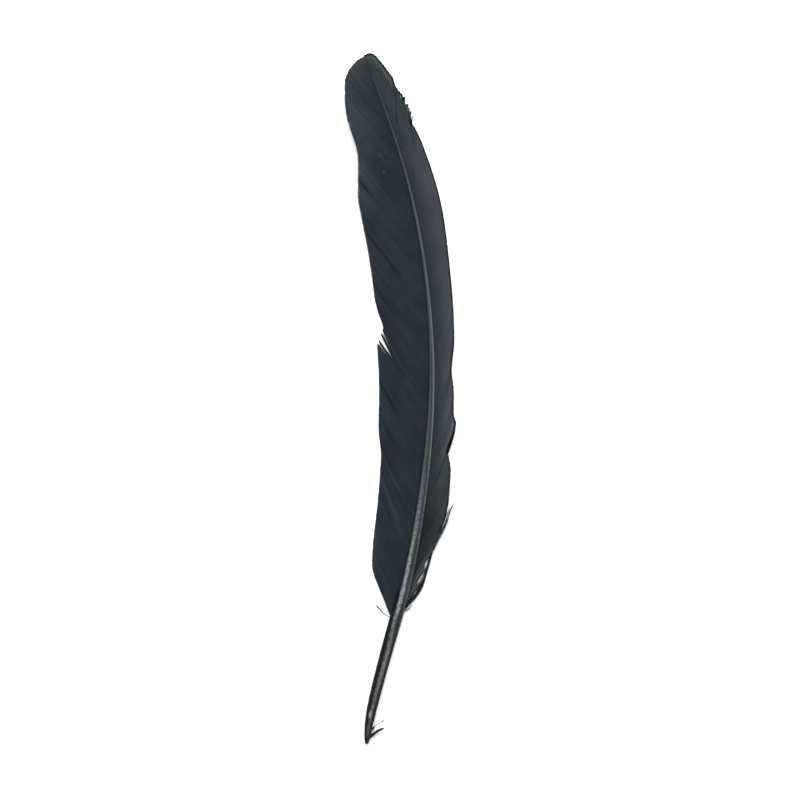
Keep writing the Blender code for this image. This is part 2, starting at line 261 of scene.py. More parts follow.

# Barbs that hang loose under the outer vane, apart at three slits: how wide their webs are, how
# dark, how faded, how much paler, and points by along, out and height. The last three are thin pale
# barbs whose paleness is painted highlight along the ribs.
LOOSE_BARBS = (
    (0.95, 1, 0, 0, (
        (40, 1.6, 1.2), (41.9, 2.6, 1), (43.4, 3.4, 0.8), (45.2, 4.1, 0.7), (47, 4.58, 0.7),
        (48.8, 4.72, 0.8), (51, 4.82, 0.9), (53.8, 5.05, 1), (56.3, 5.2, 1.2), (58, 5.45, 1.4),
        (60.4, 6.25, 1.6),
    )),
    (0.75, 0.9, 0, 0, ((40.2, 1.6, 1.2), (41.5, 2.25, 1), (42.7, 2.8, 0.9), (43.5, 3.1, 0.85))),
    (0.72, 0.85, 0, 0, (
        (40.6, 1.5, 1.2), (41.6, 1.85, 1.1), (43.1, 2.4, 1), (44.9, 2.9, 0.9), (46, 3.4, 0.8),
        (47.4, 4.1, 0.8), (49, 4.55, 0.8), (51, 4.75, 0.9), (53, 4.95, 1),
    )),
    (0.7, 0.1, 0.1, 0.15, (
        (41.7, 1.5, 1.25), (43.6, 2.05, 1.1), (45.4, 2.6, 1), (46.8, 3.25, 0.9), (48, 3.95, 0.9),
        (49.2, 4.32, 0.85), (50.6, 4.5, 0.85), (51.9, 4.68, 0.9), (53.4, 4.95, 1),
    )),
    (0.62, 0.2, 0, -0.1, (
        (42.8, 1.45, 1.25), (44.8, 2, 1.15), (46.2, 2.5, 1.05), (47.3, 2.9, 1), (48.3, 3.2, 0.95),
    )),
    (0.68, 0.35, 0, 0, (
        (43.8, 1.45, 1.25), (46, 2.05, 1.15), (47.8, 2.65, 1.05), (49.2, 3.22, 1), (50.4, 3.65, 0.95),
        (51.4, 4.05, 0.95), (52.5, 4.6, 1), (54.4, 5, 1.1),
    )),
    (0.68, 0, 0, -0.1, (
        (44.9, 1.42, 1.25), (47, 2, 1.15), (49, 2.65, 1.1), (50.7, 3.2, 1.05), (52, 3.7, 1),
        (53, 4.15, 1),
    )),
    (0.68, 0.35, 0, 0, (
        (45.9, 1.4, 1.25), (48.2, 2, 1.15), (50.4, 2.7, 1.1), (52.3, 3.35, 1.1), (53.7, 3.82, 1.1),
        (54.9, 4.25, 1.15), (56.2, 4.9, 1.25), (58, 5.45, 1.4),
    )),
    (0.68, 0, 0, -0.1, (
        (46.8, 1.38, 1.25), (49.3, 2, 1.2), (51.6, 2.75, 1.15), (53.8, 3.55, 1.15), (56, 4.4, 1.25),
        (58.5, 5.3, 1.4), (61, 6.1, 1.5),
    )),
    (0.8, 0.6, 0, 0, (
        (53.6, 3.6, 1.15), (56, 4.6, 1.2), (58.2, 5.4, 1.35), (60.2, 6, 1.5), (62.2, 6.45, 1.6),
        (64, 6.8, 1.65),
    )),
    (0.26, 0, 0.15, 0.9, ((43.6, 1.75, 1.45), (45.6, 2.4, 1.3), (47.2, 2.8, 1.2), (48.2, 3.2, 1.15))),
    (0.24, 0, 0.1, 0.8, ((46.2, 1.9, 1.45), (48.4, 2.55, 1.35), (50.6, 3.15, 1.25), (52.6, 3.8, 1.15))),
    (0.2, 0, 0.1, 0.7, ((42.2, 1.8, 1.4), (44, 2.45, 1.25), (45.6, 2.95, 1.1), (46.9, 3.6, 1.05))),
)
# Frayed barbs beside them: how thick, and points by along, out and height.
FRAYED_BARBS = (
    (0.3, (
        (40, 1.65, 1.1), (41.8, 2.75, 0.95), (43.3, 3.55, 0.75), (45.1, 4.27, 0.65), (46.9, 4.77, 0.65),
        (48.8, 4.9, 0.7), (51, 5, 0.8), (53.8, 5.2, 0.9), (56.3, 5.25, 1.1),
    )),
    (0.06, ((39.5, 1.7, 1), (39.7, 2.4, 0.8), (40.4, 3, 0.6), (41.3, 3.5, 0.4))),
    (0.05, ((39.2, 1.7, 1), (39.2, 2.3, 0.8), (39.6, 2.8, 0.5), (40.3, 3.2, 0.3))),
)
# Barbs that stray past the outer vane's edge, in the same way.
STRAY_BARBS = (
    (0.42, (
        (57.6, 5.55, 1.5), (59.6, 6.1, 1.5), (61.4, 6.65, 1.6), (63.5, 7.4, 1.8), (65.9, 8.05, 2),
        (68.5, 8.42, 2.2), (70.3, 8.88, 2.3), (71.5, 9.15, 2.4),
    )),
    (0.34, (
        (59, 5.8, 1.5), (61.8, 6.5, 1.6), (64, 7.12, 1.8), (66.6, 7.75, 2), (69, 8.25, 2.1),
        (70.8, 8.85, 2.2),
    )),
    (0.3, (
        (60.2, 6, 1.5), (62.6, 6.5, 1.6), (64.9, 6.95, 1.8), (67.2, 7.42, 1.9), (69, 7.95, 2),
        (70.2, 8.4, 2.1),
    )),
    (0.22, ((57.5, 5.6, 1.4), (60.5, 6.45, 1.6), (63.6, 7.25, 1.8), (66.9, 8.1, 1.9), (69.5, 8.6, 2))),
    (0.2, ((61.2, 6.2, 1.6), (63.8, 6.8, 1.7), (66.2, 7.2, 1.8), (68.2, 7.65, 1.9), (69.4, 8.1, 2))),
)
# A hair that sticks out at the inner vane's foot, and a speck on that vane.
STRAY_HAIR = (
    (0.34, (
        (38.3, -6.3, 0.4), (37.6, -5.2, 0.45), (36.85, -4.05, 0.6), (36.4, -3, 0.9), (36.3, -1.8, 1.2),
    )),
)
SPECK = ((0.36, ((166.66, -5.95, 1.3), (166.9, -5.95, 1.36), (167.14, -5.95, 1.3))),)
# Shreds of the sheath at the quill's end: how thick, and points in millimetres to the right, ahead
# and up of it.
SHEATH_SHREDS = (
    (1, (
        (0.1, 0.7, 0.8), (0.6, 1.25, 1), (1.2, 1.75, 1.2), (1.8, 2.2, 1.3), (2.9, 3, 1.2), (4, 3.6, 1.1),
        (4.85, 3.85, 1),
    )),
    (0.36, ((2.4, 2.7, 1.3), (2.8, 3.2, 1.4), (3, 3.65, 1.4))),
    (0.95, ((0.3, 2.5, 1.1), (0.9, 3.15, 1.3), (1.5, 3.75, 1.4), (2.15, 4.35, 1.5))),
    (0.22, (
        (1.6, 4, 1.5), (2.12, 4.55, 1.6), (2.9, 5.1, 1.7), (3.69, 5.5, 1.7), (4.59, 6.09, 1.6),
        (5.06, 6.71, 1.5),
    )),
    (0.42, ((4.3, 5.88, 1.6), (4.6, 6.12, 1.6), (4.78, 6.4, 1.6))),
    (0.9, ((0.2, 1.4, 1), (0.6, 2.1, 1.1), (0.9, 2.75, 1.2), (1.05, 3.4, 1.2))),
)


def smooth(rows, at, column=1):
    """A column of a table read between its rows, on a curve that never overshoots them."""
    table = np.array(rows, float)
    x, y = table[:, 0], table[:, column]
    slope = np.diff(y) / np.diff(x)
    same_way = slope[:-1] * slope[1:] > 0
    middle = np.zeros(len(slope) - 1)
    middle[same_way] = 2 / (1 / slope[:-1][same_way] + 1 / slope[1:][same_way])
    tangent = np.concatenate((slope[:1], middle, slope[-1:]))
    at = np.clip(np.asarray(at, float), x[0], x[-1])
    i = np.clip(np.searchsorted(x, at) - 1, 0, len(slope) - 1)
    run = x[i + 1] - x[i]
    t = (at - x[i]) / run
    start = y[i] * (1 + 2 * t) + tangent[i] * run * t
    end = y[i + 1] * (3 - 2 * t) - tangent[i + 1] * run * (1 - t)
    return start * (1 - t) ** 2 + end * t ** 2


def risen(value, start, end):
    """How far a value has come from start to end, from 0 to 1, and slower at both ends."""
    share = np.clip((value - start) / (end - start), 0.0, 1.0)
    return share * share * (3 - 2 * share)


def hump(away, reach):
    """1 in the middle, falling to almost nothing at twice the reach."""
    return np.exp(-(away / reach) ** 2)


def wander(at, step, rng):
    """A smooth random walk between -1 and 1, with a turn at about every step."""
    knots = np.arange(at.min() - step, at.max() + 2 * step, step)
    return smooth(np.stack((knots, rng.uniform(-1, 1, len(knots))), axis=-1), at)


def threaded(before, here, after, beyond, t):
    """A smooth curve from here to after, for t from 0 to 1."""
    return 0.5 * (
        2 * here + (after - before) * t + (2 * before - 5 * here + 4 * after - beyond) * t ** 2
        + (3 * here - before - 3 * after + beyond) * t ** 3
    )


def closed_curve(points, count):
    """A count of points on a smooth closed curve through the given ones."""
    at = np.linspace(0, len(points), count, endpoint=False)
    i = at.astype(int)
    return threaded(*(points[(i + k) % len(points)] for k in (-1, 0, 1, 2)), (at - i)[:, None])


def open_curve(points, count):
    """A count of points on a smooth curve through the given ones, from the first to the last."""
    points = np.array(points, float)
    ends = np.concatenate((2 * points[:1] - points[1:2], points, 2 * points[-1:] - points[-2:-1]))
    at = np.linspace(0, len(points) - 1, count)
    i = np.minimum(at.astype(int), len(points) - 2)
    return threaded(*(ends[i + k] for k in range(4)), (at - i)[:, None])


LINE = np.arange(0, LINE_LENGTH + LINE_STEP / 2, LINE_STEP)
HEADING = np.radians(smooth(HEADINGS, LINE))


def walked(rate):
    """The distance walked at each step of the line, by the trapezoid rule."""
    return np.concatenate(([0.0], np.cumsum((rate[1:] + rate[:-1]) / 2 * LINE_STEP)))


LINE_X, LINE_Y = walked(np.sin(HEADING)), walked(np.cos(HEADING))


def underside(along):
    """Height of the shaft's underside above the surface that the feather lies on."""
    quill = np.maximum(0.0, 1 - along / QUILL_RISE_ENDS)
    tip = np.maximum(0.0, along - TIP_RISE_STARTS) / (SHAFT_LENGTH - TIP_RISE_STARTS)
    return QUILL_RISE * quill ** 2 + TIP_RISE * tip ** 2


def on_line(along, out):
    """Where along and out lie, in millimetres from the quill's end. Out is positive to the right."""
    heading = np.interp(along, LINE, HEADING)
    x = np.interp(along, LINE, LINE_X) + np.minimum(along, 0) * np.sin(HEADING[0])
    y = np.interp(along, LINE, LINE_Y) + np.minimum(along, 0) * np.cos(HEADING[0])
    return x + out * np.cos(heading), y - out * np.sin(heading)


def quill_end(samples=400):
    """Where the quill's end lies in the frame, in millimetres, from the box of the frame's shaft."""
    low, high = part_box("shaft")
    along = np.linspace(0, SHAFT_LENGTH, samples)
    half = smooth(SHAFT_SIZES, along) / 2
    x, y = np.concatenate([on_line(along, side * half) for side in (-1, 1)], axis=1)
    return (
        (low.x + high.x) / 2 / MM - (x.min() + x.max()) / 2,
        (low.y + high.y) / 2 / MM - (y.min() + y.max()) / 2,
    )


QUILL_END = quill_end()


def place(along, out, height):
    """A place in the frame, in metres. Height counts from the shaft's underside."""
    x, y = on_line(along, out)
    z = underside(along) + height
    return np.stack(np.broadcast_arrays(x + QUILL_END[0], y + QUILL_END[1], z), axis=-1) * MM


class Nodes:
    """Adds nodes to a tree. Each call gives back an output of the node that it made.

    A keyword in small letters is a node's setting, and one with a capital is an input's name."""

    def __init__(self, tree):
        self.tree = tree

    def feed(self, socket, value):
        """Links a socket to another node's output, or gives it a number, a vector or a colour."""
        if isinstance(value, bpy.types.NodeSocket):
            self.tree.links.new(value, socket)
        elif value is not None:
            socket.default_value = (*value, 1.0) if socket.type == "RGBA" else value

    def add(self, kind, *inputs, out=0, **named):
        made = self.tree.nodes.new(kind)
        for name, value in named.items():
            if name.islower():
                setattr(made, name, value)
            else:
                self.feed(made.inputs[name.replace("_", " ")], value)
        for socket, value in zip(made.inputs, inputs):
            self.feed(socket, value)
        return made.outputs[out]

    def math(self, operation, *values, clamp=False):
        return self.add("ShaderNodeMath", *values, operation=operation, use_clamp=clamp)

    def times(self, first, second):
        return self.math("MULTIPLY", first, second)

    def weighted(self, value, weight, rest):
        """The value times its weight, and the rest."""
        return self.math("MULTIPLY_ADD", value, weight, rest)

    def vector(self, operation, *values):
        return self.add("ShaderNodeVectorMath", *values, operation=operation)

    def scaled(self, vector, scale):
        return self.add("ShaderNodeVectorMath", vector, operation="SCALE", Scale=scale)

    def joined(self, x, y, z=0.0):
        return self.add("ShaderNodeCombineXYZ", x, y, z)

    def sideways(self, ahead):
        """The level direction at right angles to the one ahead."""
        return self.vector("NORMALIZE", self.vector("CROSS_PRODUCT", ahead, (0.0, 0.0, 1.0)))

    def mix(self, share, first, second, blend="MIX"):
        """A mix of two colours, by a share from 0 to 1."""
        colours = [None] * 5 + [first, second]
        return self.add("ShaderNodeMix", share, *colours, data_type="RGBA", blend_type=blend, out=2)

    def between(self, value, low, high):
        """A value's place between two limits, from 0 to 1, eased at both ends."""
        return self.add("ShaderNodeMapRange", value, low, high, interpolation_type="SMOOTHSTEP")

    def attributes(self, *names):
        return [self.add("ShaderNodeAttribute", attribute_name=name, out="Fac") for name in names]

    def held(self, name):
        return self.add("GeometryNodeInputNamedAttribute", name)

    def noise(self, at, scale, detail=2.0, roughness=0.5):
        return self.add("ShaderNodeTexNoise", at, Scale=scale, Detail=detail, Roughness=roughness)

    def spots(self, low, high, at, **noise):
        """Spots, where a noise passes from one limit to the other."""
        return self.between(self.noise(at, **noise), low, high)

    def chance(self, low, high, seed):
        """A random number for each instance."""
        others = [None] * 4
        return self.add("FunctionNodeRandomValue", None, None, low, high, *others, seed, out=1)

    def relief(self, height, depth, strength=0.7):
        return self.add("ShaderNodeBump", Strength=strength, Distance=depth, Height=height)


# The finishes.

def new_material(name, roughness, specular):
    """A material, the helper for its nodes, and its shader's inputs."""
    made = bpy.data.materials.new(name)
    made.use_nodes = True
    sockets = made.node_tree.nodes["Principled BSDF"].inputs
    sockets["Roughness"].default_value = roughness
    sockets["Specular IOR Level"].default_value = specular
    return made, Nodes(made.node_tree), sockets


def linear(red, green, blue):
    """A colour as the eye reads it, from 0 to 255, made linear."""
    share = np.array((red, green, blue)) / 255
    return tuple(np.where(share <= 0.04045, share / 12.92, ((share + 0.055) / 1.055) ** 2.4))


# Between which shares of a barb its colour turns to the margin's, and between which places along the
# shaft to the tip's. A barb's end counts as further along, as the tip's colour starts at the margin.
MARGIN_TURN, TIP_TURN, END_AHEAD = (0.06, 0.7), (172.0, 208.0), 26.0
# How pale a barb is before its patterns, how pale at the least, and how much its clouds, streaks and
# bands, a tone of its own, its rib's painted highlight and its barbules change that.
PLAIN_LEVEL, LEAST_LEVEL = 0.525, 0.2
CLOUDS, STREAKS, BANDS, OWN_TONE, RIBS, BARBULES = 0.7, 0.45, 0.5, 0.16, 0.25, 0.06
# At which shares of a web the painted highlight along its rib begins and is whole. The barbules slant
# alike on both sides of the rib: how far, and how many radians of their waves there are to a millimetre.
RIB_HIGHLIGHT, SLANT, WAVES = (0.3, 0.05), 0.22, 78.0
WARM_TINT, COOL_TINT, NO_TINT = (1.05, 0.99, 1.01), (0.95, 1.015, 1.0), (1.0, 1.0, 1.0)
# Between which places along the shaft its bands turn bluer, its tip's colour begins, and its quill's
# tint ends.
BANDS_TURN, TIP_BEGINS, QUILL_TINT_ENDS = (96.0, 138.0), (184.0, 194.0), (29.0, 41.0)
QUILL_TINT = (1.045, 0.987, 0.97)
# How strongly the bands of wear and painted highlight show before their patterns, and how much
# wear, streaks, grain and flakes change that.
BAND_LEVEL, WEAR, HORN_STREAKS, GRAIN, FLAKES = -0.3, -0.14, 1.0, 1.3, 0.85


def barb_finish(name, uneven, near_shaft, near_margin, tip, edge, bare):
    """Dyed barbs: how unevenly they took the dye, the colours near the shaft, near the margin, which on the
    outer vane is partly painted sheen, at the feather's tip and at the very edge, which on the outer
    vane's margin is painted shade, and where the dye has faded."""
    made, nodes, sockets = new_material(name, roughness=0.6, specular=0.1)
    share, along, root, run = nodes.attributes("share", "along", "root", "run")
    barb, tone, across, dark, faded = nodes.attributes("barb", "tone", "across", "edge", "faded")
    towards_tip = nodes.weighted(share, END_AHEAD, along)
    body = nodes.mix(nodes.between(share, *MARGIN_TURN), near_shaft, near_margin)
    body = nodes.mix(nodes.between(towards_tip, *TIP_TURN), body, tip)
    body = nodes.mix(faded, nodes.mix(dark, body, edge), bare)

    # The dye took unevenly: soft clouds, some of other tints, streaks and bands along the barbs.
    here = nodes.add("ShaderNodeTexCoord", out="Object")
    cloud = nodes.noise(here, scale=90.0, detail=3.0)
    tint = nodes.mix(nodes.spots(0.36, 0.64, here, scale=130.0, roughness=0.4), WARM_TINT, COOL_TINT)
    body = nodes.mix(1.0, body, tint, "MULTIPLY")
    streak = nodes.noise(nodes.joined(root, nodes.times(run, 0.09)), scale=1.0, roughness=0.6)
    band = nodes.noise(nodes.joined(nodes.times(root, 0.3), nodes.times(run, 0.07), 7.0), scale=1.0)
    from_rib = nodes.math("ABSOLUTE", across)
    level = nodes.math("ADD", tone, PLAIN_LEVEL - (STREAKS + BANDS) * uneven / 2)
    for pattern, strength in (
        (cloud, CLOUDS), (streak, STREAKS * uneven), (band, BANDS * uneven), (barb, OWN_TONE),
        # Painted highlight along each rib.
        (nodes.between(from_rib, *RIB_HIGHLIGHT), RIBS),
    ):
        level = nodes.weighted(pattern, strength, level)
    level = nodes.math("MAXIMUM", level, LEAST_LEVEL)

    wave = nodes.math("SINE", nodes.times(nodes.weighted(from_rib, SLANT, run), WAVES))
    nodes.feed(sockets["Base Color"], nodes.scaled(body, nodes.weighted(wave, BARBULES, level)))
    nodes.feed(sockets["Normal"], nodes.relief(wave, depth=0.01 * MM, strength=0.6))
    nodes.feed(sockets["Roughness"], nodes.weighted(cloud, 0.2, 0.5))
    return made


def horn_finish():
    """The shaft: dyed horn, streaked, paler along bands of wear and painted highlight, flaked and pitted."""
    made, nodes, sockets = new_material("dyed_horn", roughness=0.45, specular=0.05)
    along, around, pale, worn = nodes.attributes("along", "around", "pale", "worn")
    lit_horn, faded = nodes.attributes("lit_horn", "faded")
    stretched = nodes.joined(around, nodes.times(along, 0.05))
    streaks = nodes.noise(stretched, scale=3.0, detail=4.0, roughness=0.6)
    grain = nodes.noise(nodes.joined(around, nodes.times(along, 0.6), 5.0), scale=3.6)
    flakes = nodes.spots(0.45, 0.6, nodes.joined(around, along), scale=1.0, detail=5.0, roughness=0.72)
    pits = nodes.spots(0.46, 0.36, nodes.joined(around, along, 3.0), scale=1.7, detail=3.0, roughness=0.6)
    worn_flakes = nodes.times(flakes, worn)

    # The bands are palest where streaks, grain and flakes are strong.
    level = BAND_LEVEL
    for pattern, strength in ((worn, WEAR), (streaks, HORN_STREAKS), (grain, GRAIN), (worn_flakes, FLAKES)):
        level = nodes.weighted(pattern, strength, level)
    # The near black is painted shade for the horn's flanks and underside; the bands' colours are partly wear
    # and partly painted highlight.
    dark, pale_horn, low_bands, high_bands = (
        linear(8, 8, 10), linear(43, 46, 49), linear(116, 121, 122), linear(111, 117, 128),
    )
    pitted, undyed, at_tip = linear(18, 20, 21), linear(127, 117, 124), linear(44, 50, 53)
    bands = nodes.mix(nodes.between(along, *BANDS_TURN), low_bands, high_bands)
    # Painted shade: near black on the flanks and underside, and less light on one side of the top.
    body = nodes.mix(lit_horn, dark, pale_horn)
    body = nodes.mix(nodes.math("MULTIPLY", pale, level, clamp=True), body, bands)
    body = nodes.mix(nodes.times(pits, nodes.times(worn, 0.5)), body, pitted)
    body = nodes.mix(faded, body, undyed)
    body = nodes.mix(nodes.between(along, *TIP_BEGINS), body, at_tip)
    tint = nodes.mix(nodes.between(along, *QUILL_TINT_ENDS), QUILL_TINT, NO_TINT)
    nodes.feed(sockets["Base Color"], nodes.mix(1.0, body, tint, "MULTIPLY"))
    height = nodes.weighted(streaks, 0.6, worn_flakes)
    nodes.feed(sockets["Normal"], nodes.relief(height, depth=0.03 * MM))
    nodes.feed(sockets["Roughness"], nodes.weighted(flakes, 0.25, 0.36))
    return made


def fibre_finish(name, dark, pale):
    """Single barbs and fibres, mottled from dark to pale."""
    made, nodes, sockets = new_material(name, roughness=0.6, specular=0.12)
    here = nodes.add("ShaderNodeTexCoord", out="Object")
    mottles = nodes.spots(0.4, 0.68, here, scale=900.0, detail=3.0)
    nodes.feed(sockets["Base Color"], nodes.mix(mottles, dark, pale))
    return made


# Meshes and pieces.

def link_object(name, data):
    made = bpy.data.objects.new(name, data)
    bpy.context.collection.objects.link(made)
    return made


def finish_piece(piece, slot, *nodes):
    """The piece rides on the feather's one body, and replaces the frame's solids that are named."""
    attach(piece, BODY)
    if nodes:
        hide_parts(*nodes)


def new_mesh(name, points, edges=(), faces=()):
    mesh = bpy.data.meshes.new(name)
    mesh.from_pydata(points, edges, faces)
    return mesh


def write_attribute(mesh, name, values):
    attribute = mesh.attributes.new(name, "FLOAT", "POINT")
    attribute.data.foreach_set("value", np.ravel(values).astype(np.float32))


SHARP_HORN, SHARP_WEB = np.radians(60.0), np.radians(50.0)


def tube_mesh(name, rings):
    """A closed tube through rings of points, each ring anticlockwise as seen looking along the tube:
    an array of rings, points and coordinates."""
    count, sides = rings.shape[:2]
    ring, side = np.meshgrid(np.arange(count - 1), np.arange(sides), indexing="ij")
    after = (side + 1) % sides
    low, high = ring * sides, (ring + 1) * sides
    faces = np.stack((low + side, high + side, high + after, low + after), axis=-1).reshape(-1, 4).tolist()
    faces.append(list(range(sides)))
    faces.append(list(range((count - 1) * sides, count * sides))[::-1])
    mesh = new_mesh(name, rings.reshape(-1, 3).tolist(), faces=faces)
    mesh.shade_smooth()
    mesh.set_sharp_from_angle(angle=SHARP_HORN)
    return mesh


# The shaft.

# Its rings, which stand closer near the quill, and the points of each.
SHAFT_RINGS, RING_CROWDING, SHAFT_SIDES = 440, 1.08, 64
# The blunt end and its hole: how far into the quill, and the share of the end's size.
END_RINGS = (
    (1.5, 0.2), (0.4, 0.28), (-0.1, 0.34), (-0.32, 0.46), (-0.4, 0.62), (-0.34, 0.8), (-0.18, 0.93),
)
# Its lengthwise ridges, its worn stretch's dents and scales, and the ragged sides of its bands: their
# size, as a share of its width, in millimetres, and as a share of its half width, their length along
# it, and how many waves make them. The crests that a wave has around it are drawn from a range.
RIDGES, DENTS, RAGGED_BANDS = (0.006, 60, 24), (0.025, 1.8, 40), (0.05, 2.2, 30)
CRESTS = (3, 22)
# From which share of its depth up its skin is rough, between which shares its bands and its painted
# light begin to show, and between which shares of its half width the painted shade of its flanks begins.
ROUGH_FROM, TOP_SHARES, SIDE_SHARES = 0.25, (0.45, 0.8), (1.1, 0.8)
# Over what distance a band begins, and how square it is across.
BAND_STARTS, BAND_SQUARENESS = 4, 3


def shaft_outlines(along):
    """The shaft's outline at each place, as shares of its width and depth: places by points by two."""
    halves = [np.array(half) for half in (QUILL_OUTLINE, GROOVED_OUTLINE)]
    whole = [np.concatenate((half, half[-2::-1] * (-1, 1))) for half in halves]
    quill, grooved = (closed_curve(outline, SHAFT_SIDES) for outline in whole)
    share = risen(along, GROOVE_STARTS, GROOVE_WHOLE)[:, None, None]
    return quill * (1 - share) + grooved * share


def rough_skin(seed, size, length, waves):
    """A smooth random field over the shaft's skin, from crossing waves of about the given length."""
    rng = np.random.default_rng(seed)
    total = np.zeros((SHAFT_RINGS, SHAFT_SIDES))
    turn = np.linspace(0, 2 * np.pi, SHAFT_SIDES, endpoint=False)[None, :]
    along = np.linspace(0, SHAFT_LENGTH, SHAFT_RINGS)[:, None]
    for _ in range(waves):
        crests, tilt = rng.integers(*CRESTS), rng.normal(0, 2 * np.pi / length)
        phase = rng.uniform(0, 2 * np.pi)
        total += np.sin(crests * turn + along * tilt + phase)
    return size * (total / np.sqrt(waves))


def worn_and_highlit_bands(along, spread):
    """How pale the shaft's top is, from its two bands, partly of wear and partly of painted highlight."""
    total = 0.0
    for band in (LEFT_BAND, RIGHT_BAND):
        middle, width, strength = (smooth(band, along, column)[:, None] for column in (1, 2, 3))
        starts = risen(along, band[0][0], band[0][0] + BAND_STARTS)[:, None]
        total = total + starts * strength * np.exp(-np.abs((spread - middle) / width) ** BAND_SQUARENESS)
    return total


def make_shaft(finish):
    along = SHAFT_LENGTH * np.linspace(0, 1, SHAFT_RINGS) ** RING_CROWDING
    outline = shaft_outlines(along)
    spread, rise = outline[..., 0] * 2, outline[..., 1]
    width, depth = (smooth(SHAFT_SIZES, along, column)[:, None] for column in (1, 2))
    starts, whole, fades, ends = WORN_STRETCH
    worn = (risen(along, starts, whole) * risen(along, ends, fades))[:, None]

    lift = rough_skin(SEED, *RIDGES) * width + worn * rough_skin(SEED + 1, *DENTS)
    lift *= np.clip(rise / ROUGH_FROM, 0, 1)
    outward = np.arctan2(rise - 0.5, outline[..., 0])
    across = outline[..., 0] * width + lift * np.cos(outward)
    up = rise * depth + lift * np.sin(outward)
    middle = depth[0] / 2
    end = [place(inside, across[0] * size, middle + (up[0] - middle) * size) for inside, size in END_RINGS]
    mesh = tube_mesh("shaft_skin", np.concatenate((np.array(end), place(along[:, None], across, up))))

    top = risen(rise, *TOP_SHARES)
    # Painted shade: the flanks and underside stay near black, and the top is lit more on one side than the
    # other.
    lit_horn = sum(
        np.interp(spread, HORN_PARTS, part) * smooth(HORN_TONES, along, column)[:, None]
        for column, part in enumerate(np.eye(len(HORN_PARTS)), start=1)
    )
    spot_along, spot_length, spot_out, spot_width, lost = DYE_LOST
    spot = ((along[:, None] - spot_along) / spot_length) ** 2 + ((spread - spot_out) / spot_width) ** 2
    # The pale bands below are partly wear and partly a painted highlight along the ridges.
    for name, values in (
        ("along", along[:, None]),
        ("around", np.linspace(0, 1, SHAFT_SIDES) * np.pi * width),
        ("pale", worn_and_highlit_bands(along, spread + worn * rough_skin(SEED + 2, *RAGGED_BANDS)) * top),
        ("lit_horn", risen(np.abs(spread), *SIDE_SHARES) * top * lit_horn),
        ("worn", worn),
        ("faded", np.exp(-spot ** 2) * top * lost),
    ):
        in_end = np.zeros((len(END_RINGS), SHAFT_SIDES))
        write_attribute(mesh, name, np.concatenate((in_end, np.broadcast_to(values, spread.shape))))
    mesh.materials.append(finish)
    finish_piece(link_object("grooved_shaft", mesh), "horn", "shaft")


# Trees that grow barbs along guide lines.

# A barb's section: how far across its web, its height in web thicknesses, and in rib heights.
SECTION = (
    (-1.0, -0.4, 0.0), (-0.24, 0.3, 0.1), (0.0, 0.3, 1.0), (0.24, 0.5, 0.1),
    (1.0, 1.3, 0.0), (1.0, 0.4, 0.0), (0.0, -0.7, -0.3), (-1.0, -1.3, 0.0),
)
# How thick webs are, how many times half the way to the next barb they reach, and their limits.
WEB_THICKNESS, WEB_OVERLAP, WEB_LIMITS = 0.045, 1.3, (0.04, 0.35)
# How much slimmer they are at the root and the tip, up to and from which share of a barb, and how much
# of the tip's slimming the wide ends are spared.
SLIM_ROOT, ROOT_SHARE, SLIM_TIP, TIP_SHARE, SPARED = 0.2, 0.05, 0.5, 0.955, 0.8
# How far barbs flutter up and down, the scale of their noise, and each barb's own part in it.
FLUTTER, FLUTTER_SCALE, OWN_FLUTTER = 0.14, 220.0, 0.5
# A stem's sides, how unevenly its barbules lift, how much of their fringe they reach over, and how far
# its left and its right side's seeds lie from its own.
STEM_SIDES, BARBULE_LIFT, BARBULE_REACH, SEED_STEP = 7, 0.7, (0.5, 1.15), 10.0


def new_tree(name, **sockets):
    """A Geometry Nodes tree with named inputs: its helper, its input sockets and its output."""
    tree = bpy.data.node_groups.new(name, "GeometryNodeTree")
    tree.interface.new_socket("Geometry", in_out="INPUT", socket_type="NodeSocketGeometry")
    for label, kind in sockets.items():
        tree.interface.new_socket(label, in_out="INPUT", socket_type="NodeSocket" + kind)
    tree.interface.new_socket("Geometry", in_out="OUTPUT", socket_type="NodeSocketGeometry")
    given, result = tree.nodes.new("NodeGroupInput"), tree.nodes.new("NodeGroupOutput")
    return Nodes(tree), given.outputs, result.inputs[0]


def close_tree(nodes, geometry, finish, result):
    """Ends a tree with plain geometry in its finish."""
    whole = nodes.add("GeometryNodeRealizeInstances", geometry)
    nodes.feed(result, nodes.add("GeometryNodeSetMaterial", whole, Material=finish))
    return nodes.tree


def capture(nodes, geometry, **fields):
    """Holds vector fields on the geometry. Gives the geometry, and the held fields."""
    made = nodes.tree.nodes.new("GeometryNodeCaptureAttribute")
    nodes.feed(made.inputs["Geometry"], geometry)
    for label, field in fields.items():
        made.capture_items.new("VECTOR", label)
        nodes.feed(made.inputs[label], field)
    return made.outputs["Geometry"], [made.outputs[label] for label in fields]


